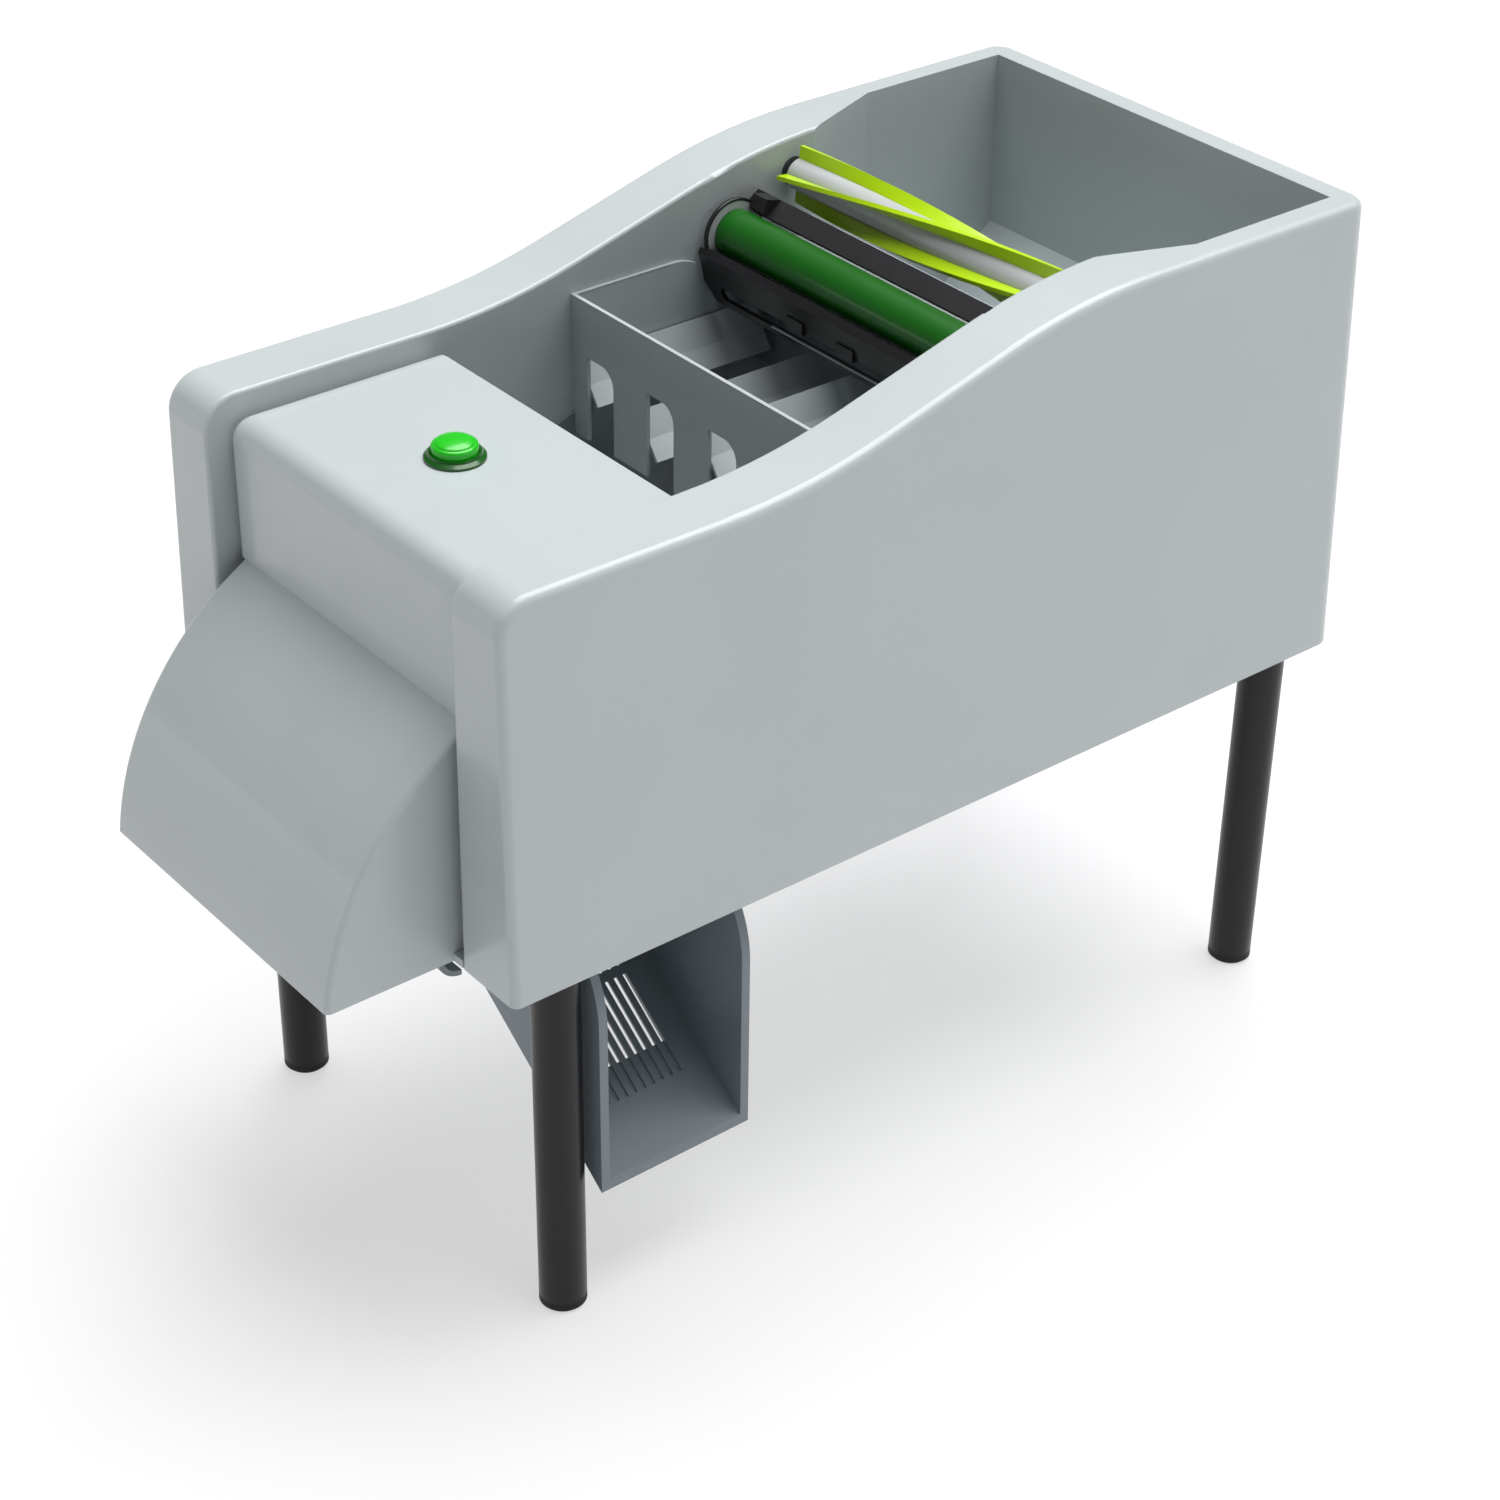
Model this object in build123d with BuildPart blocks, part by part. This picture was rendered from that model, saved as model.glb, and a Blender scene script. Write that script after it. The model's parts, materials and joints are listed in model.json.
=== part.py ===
"""Electric pea sheller on four legs: hopper, agitator, roller pair, husk outlet and pea chute.

Millimetres, +Z up. The origin is on the table, under the middle of the whole outline; X runs
along the body from the husk outlet (-X) to the hopper (+X), and the pea chute opens to -Y.
"""

from build123d import *
from math import acos, asin, atan2, cos, degrees, hypot, pi, radians, sin, sqrt, tan
import os

os.makedirs("parts", exist_ok=True)

# ---------------------------------------------------------------- driving dimensions
# body
body_length = 380.0
body_width = 202.4
under_z = 149.5          # underside of the body above the table
rim_z = 328.3            # wall tops round the hopper
wall_rise = 32.5
shelf_z = rim_z - wall_rise              # wall tops beside the control box
front_lean = 1.6         # moulding draft, taken in at the top on each face
back_lean = 3.4
side_lean = 4.5
corner_r = 8.0
front_round = 13.0       # wall ends roll over at the front
edge_r = 3.0
curve_start = body_length - 292.0        # station where the wall tops begin to rise
curve_radius = 245.0
curve_angle = 15.5
skin = 3.0               # moulded wall thickness
end_wall = 8.0           # thickness of the rolled wall ends
running_gap = 0.05       # radial clearance of every shaft in its bush
seat_gap = 0.3           # clearance between pieces that are only laid together
plate_t = 3.0            # underside plates

# channel between the side walls, and the wider hopper
channel_half = body_width / 2 - 29.2
hopper_half = body_width / 2 - 14.7
hopper_back = body_length - 13.8         # stations are measured from the front end
flare_end = hopper_back - 66.2
flare_start = flare_end - 38.0
flare_floor_z = rim_z - 122.3
back_hollow = body_length - 5.0
low_hollow_z = flare_floor_z - 6.0       # roof of the hollow under the hopper
inner_edge_r = 1.5

# control box
box_front = 9.0
box_back = 92.0
box_top_z = shelf_z - 6.5
box_low_z = box_top_z - 52.3
box_t = 2.5
box_round = 9.0
box_side_round = 6.0
deck_t = 2.0

# husk outlet hood
hood_reach = 48.6        # how far it stands out in front of the body
hood_half = channel_half - 5.1
hood_station = 67.0      # centre of its quarter round
hood_centre_z = box_low_z - 101.0
hood_radius = 116.5
hood_t = 2.5
hood_edge_r = 2.2
hood_tail = 30.0         # how far its cheeks run into the body

# push button
button_station = 52.5
cap_r = 7.9
cap_stand = 5.5
cap_travel = 3.0
cap_depth = 7.0
cap_round = 1.2
bezel_r = 10.4
bezel_collar_r = 9.2
bezel_edge_h = 0.9
bezel_h = 2.6
switch_half = 11.0
switch_h = 14.0
post_t = 2.0
sleeve_r = 4.6           # rubber sleeve that lifts the cap
sleeve_t = 1.2
cap_clearance = 1.5      # left under the cap when it is pressed

# rollers
roller_station = hopper_back - 145.2
roller_z = shelf_z + 3.7
roller_r = 9.1
counter_r = 9.0
core_r = 6.5
shaft_r = 4.0
nip_angle = -65.0        # from the rubber roller to the steel one, in the side view
roller_half = channel_half - 3.7
flange_r = 12.9
flange_t = 1.2
flute_count = 18
flute_depth = 0.6
end_chamfer = 0.4

# separator box with its louvres
divider_station = roller_station - 70.0
separator_length = 65.0
separator_top_z = shelf_z - 2.8
separator_low_z = separator_top_z - 54.5
separator_round = 20.0
sheet_t = 1.5
slot_count = 4
slot_width = 15.5
slot_first_y = channel_half - 17.0
slot_pitch = 2 * slot_first_y / slot_count + 7.5
slot_top_z = separator_top_z - 21.5
slot_round = 7.0
louvre_length = 81.0
louvre_high_z = separator_top_z - 23.5
louvre_low_z = separator_top_z - 31.0
louvre_first_y = channel_half - 3.7
louvre_bend = (-4.7, -9.5)
louvre_foot = (-9.9, -16.5)
louvre_t = 1.2

# guard in front of the rollers, with the slot the husks leave by
guard_top = (roller_station - 12.7, roller_z - 2.5)      # station and height
guard_nose = (roller_station - 14.1, roller_z - 5.3)
guard_waist = (roller_station - 12.4, roller_z - 10.5)
guard_foot = (roller_station - 10.0, roller_z - 23.5)
guard_t = 2.0
guard_slot_high = roller_z - 16.3
guard_slot_low = roller_z - 21.0
guard_slot_half = channel_half - 11.0
guard_corner = 8.0

# cover over the nip, behind the rubber roller
cover_low = (roller_station + 8.2, roller_z + 6.9)
cover_high = (roller_station + 15.0, roller_z + 11.6)
cover_tail = (roller_station + 16.6, roller_z + 5.0)
cover_t = 1.8
cover_end_low = (roller_station + 6.6, roller_z + 8.5)
cover_end_peak = (roller_station + 8.4, roller_z + 13.4)
cover_end_width = 8.0

# agitator
agitator_station = roller_station + 31.3
agitator_z = roller_z + 14.5
tube_r = 6.0
blade_r = 10.8
blade_t = 1.6
blade_count = 4
blade_phase = 84.3       # angle of the first blade at the far end
blade_twist = 97.0       # turned through over the length
blade_steps = 8          # sections each blade is drawn through
blade_gap = 0.03
agitator_shaft_r = 3.0
agitator_half = channel_half - 3.5

# gears
module = 1.25
addendum = 0.8
dedendum = 1.05
pressure_angle = 20.0
backlash = 0.30
gear_width = 7.0
pinion_teeth = 12
idler_teeth = 40
drive_teeth = 26
sync_teeth = 15
agitator_teeth = 14
gear_near_y = -channel_half - 7.0        # inner faces of the gears in the two walls
gear_far_y = channel_half + 12.5
shaft_overhang = 1.5     # shaft ends standing out of their gears
idler_pin_r = 4.0
idler_collar_r = 6.5
bush_wall = 2.5
bush_flange = 2.0

# motor
can_r = 17.5
can_length = 54.0
can_chamfer = 2.0
gearbox_r = 18.5
gearbox_length = 24.0
motor_shaft_r = 3.0
motor_hole_gap = 1.0
shroud_gap = 2.5
shroud_t = 1.8
shroud_skirt = 8.0

# floors and slides
apron_lip = (roller_station + 15.0, roller_z - 8.0)
apron_bend = (hopper_back - 88.2, roller_z - 16.5)
apron_foot = (hopper_back - 55.2, flare_floor_z + 9.0)
slope_foot = (hopper_back - 43.2, flare_floor_z + 12.9)
slope_top_z = rim_z - 68.9
floor_t = 2.0
slide_high = (hopper_back - 26.2, flare_floor_z - 5.0)
slide_low = (100.0, under_z + 10.5)
husk_high_z = separator_low_z - 3.5
husk_nose = (-4.5, husk_high_z - 57.0)
lip_r = 9.0
flange_h = 12.0

# pea chute
chute_low = 37.5         # stations of its outer sides
chute_high = 101.5
chute_front_y = -body_width / 2 + 6.2
chute_lip_z = 50.0
chute_angle = 35.5
chute_t = 3.5
chute_straight_z = under_z - 29.5
chute_mouth_y = chute_front_y + 12.0
throat_front_y = -channel_half + 2.0
throat_back_y = channel_half / 2
sieve_count = 12
sieve_shift = 5.0        # rows stand this far from the chute's middle, to the front
sieve_pitch = 3.9
sieve_w = 1.5
sieve_t = 1.0            # thickness of the floor between the sieve slots
sieve_rows = ((35.6, 63.3), (66.9, 104.4))     # ends of each row, up the slope from the lip
sieve_margin = 2.0
groove_low = 23.3
groove_depth = 0.6

# legs
leg_r = 8.5
leg_front = 27.7
leg_back = body_length - 19.5
leg_y = body_width / 2 - 16.9
spigot_r = 6.0
spigot_h = 22.0
foot_h = 4.0
foot_chamfer = 1.2
leg_boss_r = 10.5

# power inlet in the back wall
inlet_y = -40.0
inlet_z = under_z + 22.5
inlet_r = 5.5
inlet_flange_r = 8.0
inlet_flange_t = 2.0
inlet_bore_r = 2.9
inlet_bore_depth = 9.0
inlet_sunk = 0.6

# screws
screw_r = 1.5
screw_head_r = 2.8
screw_head_h = 1.8
screw_length = 8.0
pillar_r = 4.0
pillar_h = 8.5
pillar_inset = 3.0       # pillars stand this far from the wall face they join

# ---------------------------------------------------------------- places worked out
x_back = (body_length + hood_reach) / 2
x_front = x_back - body_length
x_mid = (x_front + x_back) / 2
side_angle = degrees(atan2(side_lean, rim_z - under_z))
front_angle = degrees(atan2(front_lean, rim_z - under_z))
back_angle = degrees(atan2(back_lean, rim_z - under_z))


def at(station):
    """X of a distance measured back from the body's front end."""
    return x_front + station


def spot(place):
    """Side-view point from a station and a height."""
    return (at(place[0]), place[1])


def side_plane(y):
    """Side view at y: drawn in X and Z, extruded towards -Y."""
    return Plane.XZ.offset(-y)


def cross_plane(station):
    """Section across the body: drawn in Y and Z, extruded towards the hopper."""
    return Plane.YZ.offset(at(station))


def circle_meet(a, ra, b, rb):
    """Centre below the line a to b that lies ra from a and rb from b."""
    dx, dz = b[0] - a[0], b[1] - a[1]
    d = hypot(dx, dz)
    along = (ra * ra - rb * rb + d * d) / (2 * d)
    off = sqrt(ra * ra - along * along)
    return (a[0] + (along * dx + off * dz) / d, a[1] + (along * dz - off * dx) / d)


def heading(a, b):
    """Angle of the line a to b in the side view."""
    return degrees(atan2(b[1] - a[1], b[0] - a[0]))


def gear_reach(teeth_a, teeth_b):
    """Centre distance of two meshing gears."""
    return module * (teeth_a + teeth_b) / 2


turn = radians(curve_angle)
arc_run = curve_radius * sin(turn)
arc_rise = curve_radius * (1 - cos(turn))
straight_run = (wall_rise - 2 * arc_rise) / tan(turn)

roller_at = (at(roller_station), roller_z)
sync_reach = gear_reach(sync_teeth, sync_teeth)
counter_at = (
    roller_at[0] + sync_reach * cos(radians(nip_angle)),
    roller_at[1] + sync_reach * sin(radians(nip_angle)),
)
agitator_at = (at(agitator_station), agitator_z)
idler_at = circle_meet(
    roller_at,
    gear_reach(drive_teeth, idler_teeth),
    agitator_at,
    gear_reach(agitator_teeth, idler_teeth),
)
motor_at = (idler_at[0], idler_at[1] - gear_reach(pinion_teeth, idler_teeth))

legs_at = {
    "front_near": (at(leg_front), -leg_y),
    "front_far": (at(leg_front), leg_y),
    "back_near": (at(leg_back), -leg_y),
    "back_far": (at(leg_back), leg_y),
}
cover_screw_stations = (70.0, 150.0, 230.0, hopper_back - 56.2)
plate_screw_stations = (35.0, 130.0, 240.0, hopper_back - 16.2)
cover_screw_y = channel_half + skin + pillar_inset
plate_screw_y = channel_half - pillar_inset
screws_at = {
    "side_cover_screws": [
        (at(s), side * cover_screw_y) for s in cover_screw_stations for side in (1, -1)
    ],
    "base_plate_screws": [
        (at(s), side * plate_screw_y) for s in plate_screw_stations for side in (1, -1)
    ],
}
all_screws = screws_at["side_cover_screws"] + screws_at["base_plate_screws"]
cap_under_z = box_top_z + cap_stand - cap_depth
switch_top_z = cap_under_z - cap_travel - cap_clearance


flange_inner_y = roller_half - flange_t - seat_gap
husk_fall = (husk_high_z - husk_nose[1]) / (divider_station - seat_gap - husk_nose[0])

# ---------------------------------------------------------------- shared outlines
def top_points(drop):
    """Four points of the rising wall top, lowered square to itself by drop."""
    nx, nz = drop * sin(turn), -drop * cos(turn)
    start = at(curve_start)
    return (
        (start, shelf_z - drop),
        (start + arc_run + nx, shelf_z + arc_rise + nz),
        (start + arc_run + straight_run + nx, rim_z - arc_rise + nz),
        (start + 2 * arc_run + straight_run, rim_z - drop),
    )


def rising_line(drop):
    """The wall top from the end of the level shelf to the hopper rim."""
    p1, p2, p3, p4 = top_points(drop)
    TangentArc(p1, p2, tangent=(1, 0))
    Line(p2, p3)
    TangentArc(p3, p4, tangent=(cos(turn), sin(turn)))


def inner_plan():
    """Corners of the channel and the hopper between the walls, in plan."""
    return (
        (at(-hood_reach), -channel_half),
        (at(flare_start), -channel_half),
        (at(flare_end), -hopper_half),
        (at(hopper_back), -hopper_half),
        (at(hopper_back), hopper_half),
        (at(flare_end), hopper_half),
        (at(flare_start), channel_half),
        (at(-hood_reach), channel_half),
    )


def sheet(points, thickness):
    """Closed outline of a bent sheet that lies to the right of the given line."""
    headings = [
        atan2(b[1] - a[1], b[0] - a[0]) for a, b in zip(points[:-1], points[1:])
    ]
    before = [headings[0]] + headings
    after = headings + [headings[-1]]
    far_side = []
    for point, first, last in zip(points, before, after):
        half_bend = (last - first) / 2
        reach = thickness / cos(half_bend)
        normal = first + half_bend - pi / 2
        far_side.append((point[0] + reach * cos(normal), point[1] + reach * sin(normal)))
    return tuple(points) + tuple(reversed(far_side))


def involute(angle):
    return tan(angle) - angle


def half_tooth(teeth, radius):
    """Half the angle a tooth takes at a radius."""
    pitch_r = module * teeth / 2
    base_r = pitch_r * cos(radians(pressure_angle))
    thick = (pi * module / 2 - backlash / 2) / (2 * pitch_r)
    at_radius = acos(base_r / max(radius, base_r))
    return thick + involute(radians(pressure_angle)) - involute(at_radius)


def gear_outline(teeth, centre, phase):
    """Gear about a side-view centre, one tooth at the phase angle."""
    pitch_r = module * teeth / 2
    root_r = pitch_r - dedendum * module
    tip_r = pitch_r + addendum * module
    base_r = pitch_r * cos(radians(pressure_angle))
    levels = (root_r, max(base_r, root_r + 0.05), (base_r + tip_r) / 2, tip_r)
    outline = []
    for tooth in range(teeth):
        mid = radians(phase + 360 * tooth / teeth)
        for r in levels:
            a = mid - half_tooth(teeth, r)
            outline.append((centre[0] + r * cos(a), centre[1] + r * sin(a)))
        for r in reversed(levels):
            a = mid + half_tooth(teeth, r)
            outline.append((centre[0] + r * cos(a), centre[1] + r * sin(a)))
    return outline


def mate_phase(phase, teeth, centre, mate_teeth, mate_centre):
    """Phase that puts the mating gear's gap on this gear's tooth."""
    line = heading(centre, mate_centre)
    return line + 180 - (phase - line) * teeth / mate_teeth - 180 / mate_teeth


def finish(part, name):
    """Label a finished piece and write it."""
    part.label = name
    export_step(part, f"parts/{name}.step")


# ---------------------------------------------------------------- hollow of a side wall
with BuildPart() as hollow:
    with BuildSketch(Plane.XY.offset(under_z)):
        with BuildLine():
            Polyline(
                (at(end_wall), channel_half + skin),
                (at(flare_start), channel_half + skin),
                (at(flare_end), hopper_half + skin),
                (at(hopper_back + skin), hopper_half + skin),
                (at(hopper_back + skin), 0),
                (at(back_hollow), 0),
                (at(back_hollow), body_width / 2 - skin),
                (at(end_wall), body_width / 2 - skin),
                close=True,
            )
        make_face()
    extrude(amount=rim_z - under_z)
    draft(hollow.faces().sort_by(Axis.Y)[-1:], Plane.XY.offset(under_z), side_angle)
    with BuildSketch(Plane.XZ):
        with BuildLine():
            rising_line(skin)
            Polyline(
                top_points(skin)[3],
                (at(body_length), rim_z - skin),
                (at(body_length), under_z),
                (at(0), under_z),
                (at(0), shelf_z - skin),
                top_points(skin)[0],
            )
        make_face()
    extrude(amount=body_width, both=True, mode=Mode.INTERSECT)
    with BuildSketch(Plane.XY.offset(under_z)):
        with BuildLine():
            Polyline(
                (at(flare_start - skin), channel_half + skin),
                (at(hopper_back + skin), channel_half + skin),
                (at(hopper_back + skin), body_width / 2 - 2 * skin),
                (at(flare_start - skin), body_width / 2 - 2 * skin),
                close=True,
            )
        make_face()
    extrude(amount=low_hollow_z - under_z)

# ---------------------------------------------------------------- housing
round_foot_z = shelf_z - front_round
front_x_at_round = x_front + front_lean * (round_foot_z - under_z) / (rim_z - under_z)

with BuildPart() as housing:
    foot = Plane.XY.offset(under_z)
    with BuildSketch(foot):
        with Locations((x_mid, 0)):
            Rectangle(body_length, body_width)
    extrude(amount=rim_z - under_z)
    draft(housing.faces().filter_by(Axis.Y), foot, side_angle)
    draft(housing.faces().sort_by(Axis.X)[:1], foot, front_angle)
    draft(housing.faces().sort_by(Axis.X)[-1:], foot, back_angle)
    upright = housing.edges().filter_by_position(Axis.Z, under_z + corner_r, rim_z - corner_r)
    fillet(upright.sort_by(Axis.X)[-2:], corner_r)
    with BuildSketch(Plane.XZ):
        with BuildLine():
            roll_foot = (front_x_at_round, round_foot_z)
            roll_end = (front_x_at_round + front_round, shelf_z)
            Line(roll_end, top_points(0)[0])
            rising_line(0)
            Polyline(
                top_points(0)[3],
                (top_points(0)[3][0], rim_z + front_round),
                (x_front - front_round, rim_z + front_round),
                (x_front - front_round, round_foot_z),
                roll_foot,
            )
            TangentArc(roll_foot, roll_end, tangent=(0, 1))
        make_face()
    extrude(amount=body_width, both=True, mode=Mode.SUBTRACT)
    low = housing.faces().sort_by(Axis.Z)[0]
    across_front = housing.edges().filter_by(Axis.Y).sort_by(Axis.X)[:3]
    across_top = housing.edges().filter_by(Axis.Y).filter_by_position(
        Axis.X, at(1), at(hopper_back)
    )
    kept = low.edges() + across_front + across_top
    back_uprights = housing.edges().filter_by_position(
        Axis.Z, under_z + corner_r, rim_z - corner_r
    )
    back_uprights = back_uprights.filter_by_position(Axis.X, at(hopper_back), at(body_length))
    fillet([e for e in housing.edges() if e not in kept and e not in back_uprights], edge_r)
    with BuildSketch(foot):
        with Locations((at((hopper_back - hood_reach) / 2), 0)):
            Rectangle(hopper_back + hood_reach, 2 * channel_half)
    extrude(amount=rim_z, mode=Mode.SUBTRACT)
    with BuildSketch(Plane.XY.offset(flare_floor_z)):
        with BuildLine():
            Polyline(*inner_plan(), close=True)
        make_face()
    extrude(amount=rim_z, mode=Mode.SUBTRACT)
    inner_edges = housing.edges().filter_by_position(Axis.X, at(-1), at(flare_start))
    inner_edges = inner_edges.filter_by(
        lambda e: abs(abs((e @ 0.5).Y) - channel_half) < 0.01
        and (e @ 0.5).Z > flare_floor_z - (rim_z if (e @ 0.5).X < at(end_wall) else 0)
        and abs((e % 0.5).Y) < 0.5
        and (e @ 0.5).Z > under_z + 1
        and not ((e @ 0.5).X > at(flare_start - 1))
    )
    fillet(inner_edges, inner_edge_r)
    add(hollow.part, mode=Mode.SUBTRACT)
    add(hollow.part.mirror(Plane.XZ), mode=Mode.SUBTRACT)
    with BuildSketch(Plane.XY.offset(under_z + plate_t)):
        with Locations(*legs_at.values()):
            Circle(leg_boss_r)
    extrude(amount=spigot_h + skin)
    with BuildSketch(Plane.XY.offset(under_z)):
        with Locations(*legs_at.values()):
            Circle(spigot_r)
    extrude(amount=plate_t + spigot_h, mode=Mode.SUBTRACT)
    with BuildSketch(side_plane(channel_half + skin)):
        with Locations(roller_at, counter_at):
            Circle(shaft_r + bush_wall)
        with Locations(agitator_at):
            Circle(agitator_shaft_r + bush_wall)
    extrude(amount=2 * (channel_half + skin), mode=Mode.SUBTRACT)
    with BuildSketch(side_plane(channel_half + skin)):
        with Locations(idler_at):
            Circle(idler_pin_r)
        with Locations(motor_at):
            Circle(motor_shaft_r + motor_hole_gap)
    extrude(amount=skin, mode=Mode.SUBTRACT)
    with BuildSketch(Plane.YZ.offset(at(hopper_back))):
        with Locations((inlet_y, inlet_z)):
            Circle(inlet_r)
    extrude(amount=body_length - hopper_back, mode=Mode.SUBTRACT)
    with BuildSketch(Plane.XY.offset(under_z + plate_t)):
        with Locations(*all_screws):
            Circle(pillar_r)
    extrude(amount=pillar_h)
    with BuildSketch(Plane.XY.offset(under_z + plate_t)):
        with Locations(*all_screws):
            Circle(screw_r)
    extrude(amount=screw_length - plate_t, mode=Mode.SUBTRACT)
finish(housing.part, "housing")

# ---------------------------------------------------------------- underside plates
cover_width = (body_width - side_lean) / 2 - channel_half - 2 * skin
cover_mid_x = at((end_wall + hopper_back + skin) / 2)
cover_mid_y = channel_half + skin + cover_width / 2
for side, name in ((1, "far"), (-1, "near")):
    with BuildPart() as side_cover:
        with BuildSketch(Plane.XY.offset(under_z)):
            with Locations((cover_mid_x, side * cover_mid_y)):
                Rectangle(hopper_back + skin - end_wall, cover_width)
            with Locations(*[p for p in legs_at.values() if p[1] * side > 0]):
                Circle(spigot_r, mode=Mode.SUBTRACT)
        extrude(amount=plate_t)
        with BuildSketch(Plane.XY.offset(under_z)):
            with Locations(*[p for p in screws_at["side_cover_screws"] if p[1] * side > 0]):
                Circle(screw_head_r)
        extrude(amount=screw_head_h, mode=Mode.SUBTRACT)
        with BuildSketch(Plane.XY.offset(under_z)):
            with Locations(*[p for p in screws_at["side_cover_screws"] if p[1] * side > 0]):
                Circle(screw_r)
        extrude(amount=plate_t, mode=Mode.SUBTRACT)
    finish(side_cover.part, f"side_cover_{name}")

with BuildPart() as base_plate:
    with BuildSketch(Plane.XY.offset(under_z)):
        with Locations((at(hopper_back / 2), 0)):
            Rectangle(hopper_back, 2 * channel_half)
        with Locations((at((chute_low + chute_high) / 2), (throat_front_y + throat_back_y) / 2)):
            Rectangle(
                chute_high - chute_low - 2 * chute_t,
                throat_back_y - throat_front_y,
                mode=Mode.SUBTRACT,
            )
    extrude(amount=plate_t)
    with BuildSketch(Plane.XY.offset(under_z)):
        with Locations(*screws_at["base_plate_screws"]):
            Circle(screw_head_r)
    extrude(amount=screw_head_h, mode=Mode.SUBTRACT)
    with BuildSketch(Plane.XY.offset(under_z)):
        with Locations(*screws_at["base_plate_screws"]):
            Circle(screw_r)
    extrude(amount=plate_t, mode=Mode.SUBTRACT)
finish(base_plate.part, "base_plate")

for name, places in screws_at.items():
    with BuildPart() as screws:
        with BuildSketch(Plane.XY.offset(under_z)):
            with Locations(*places):
                Circle(screw_head_r)
        extrude(amount=screw_head_h)
        with BuildSketch(Plane.XY.offset(under_z + screw_head_h)):
            with Locations(*places):
                Circle(screw_r)
        extrude(amount=screw_length - screw_head_h)
    finish(screws.part, name)

# ---------------------------------------------------------------- control box
with BuildPart() as control_cover:
    with BuildSketch(Plane.XY.offset(box_low_z)):
        with Locations((at((box_front + box_back) / 2), 0)):
            Rectangle(box_back - box_front, 2 * channel_half)
    extrude(amount=box_top_z - box_low_z)
    fillet(control_cover.edges().filter_by(Axis.Z).sort_by(Axis.X)[:2], box_side_round)
    fillet(control_cover.faces().sort_by(Axis.Z)[-1].edges().sort_by(Axis.X)[0], box_round)
    offset(amount=-box_t, openings=control_cover.faces().sort_by(Axis.Z)[0])
    with BuildSketch(Plane.XY.offset(box_top_z)):
        with Locations((at(button_station), 0)):
            Circle(cap_r + seat_gap)
    extrude(amount=-2 * box_t, mode=Mode.SUBTRACT)
finish(control_cover.part, "control_cover")

with BuildPart() as control_base:
    with BuildSketch(Plane.XY.offset(box_low_z)):
        with Locations((at((box_front + box_back) / 2), 0)):
            Rectangle(box_back - box_front - 2 * box_t, 2 * (channel_half - box_t))
    extrude(amount=deck_t)
    fillet(control_base.edges().filter_by(Axis.Z).sort_by(Axis.X)[:2], box_side_round - box_t)
    with BuildSketch(Plane.XY.offset(box_low_z + deck_t)):
        with Locations((at(button_station), 0)):
            Rectangle(2 * switch_half, 2 * switch_half)
            Rectangle(
                2 * (switch_half - post_t), 2 * (switch_half - post_t), mode=Mode.SUBTRACT
            )
    extrude(amount=switch_top_z - switch_h - box_low_z - deck_t)
finish(control_base.part, "control_base")

with BuildPart() as button_bezel:
    with BuildSketch(Plane.XZ.offset(0)) as bezel_half:
        with BuildLine():
            Polyline(
                (at(button_station) + cap_r + seat_gap, box_top_z),
                (at(button_station) + bezel_r, box_top_z),
                (at(button_station) + bezel_r, box_top_z + bezel_edge_h),
                (at(button_station) + bezel_collar_r, box_top_z + 2 * bezel_edge_h),
                (at(button_station) + bezel_collar_r - seat_gap, box_top_z + bezel_h),
                (at(button_station) + cap_r + seat_gap, box_top_z + bezel_h),
                close=True,
            )
        make_face()
    revolve(axis=Axis((at(button_station), 0, 0), (0, 0, 1)))
finish(button_bezel.part, "button_bezel")

with BuildPart() as button_cap:
    with BuildSketch(Plane.XY.offset(cap_under_z)):
        with Locations((at(button_station), 0)):
            Circle(cap_r)
    extrude(amount=cap_depth)
    fillet(button_cap.faces().sort_by(Axis.Z)[-1].edges(), cap_round)
finish(button_cap.part, "button_cap")

with BuildPart() as switch_body:
    with BuildSketch(Plane.XY.offset(switch_top_z - switch_h)):
        with Locations((at(button_station), 0)):
            Rectangle(2 * switch_half, 2 * switch_half)
    extrude(amount=switch_h)
finish(switch_body.part, "switch_body")

with BuildPart() as button_sleeve:
    with BuildSketch(Plane.XY.offset(switch_top_z)):
        with Locations((at(button_station), 0)):
            Circle(sleeve_r)
            Circle(sleeve_r - sleeve_t, mode=Mode.SUBTRACT)
    extrude(amount=cap_under_z - switch_top_z)
finish(button_sleeve.part, "button_sleeve")

# ---------------------------------------------------------------- husk outlet
hood_centre = (at(hood_station), hood_centre_z)
hood_top_angle = acos((hood_station - box_front) / hood_radius)
hood_low_angle = asin((under_z - hood_centre_z) / hood_radius)


def hood_point(radius, angle):
    """Point of the hood's quarter round, the angle measured up from the level."""
    return (hood_centre[0] - radius * cos(angle), hood_centre[1] + radius * sin(angle))


def hood_side(radius, tail):
    """Corners of the hood's side view behind the quarter round."""
    return (
        hood_point(radius, hood_top_angle),
        (at(tail), hood_point(radius, hood_top_angle)[1]),
        (at(tail), under_z),
        hood_point(radius, hood_low_angle),
    )


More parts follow.
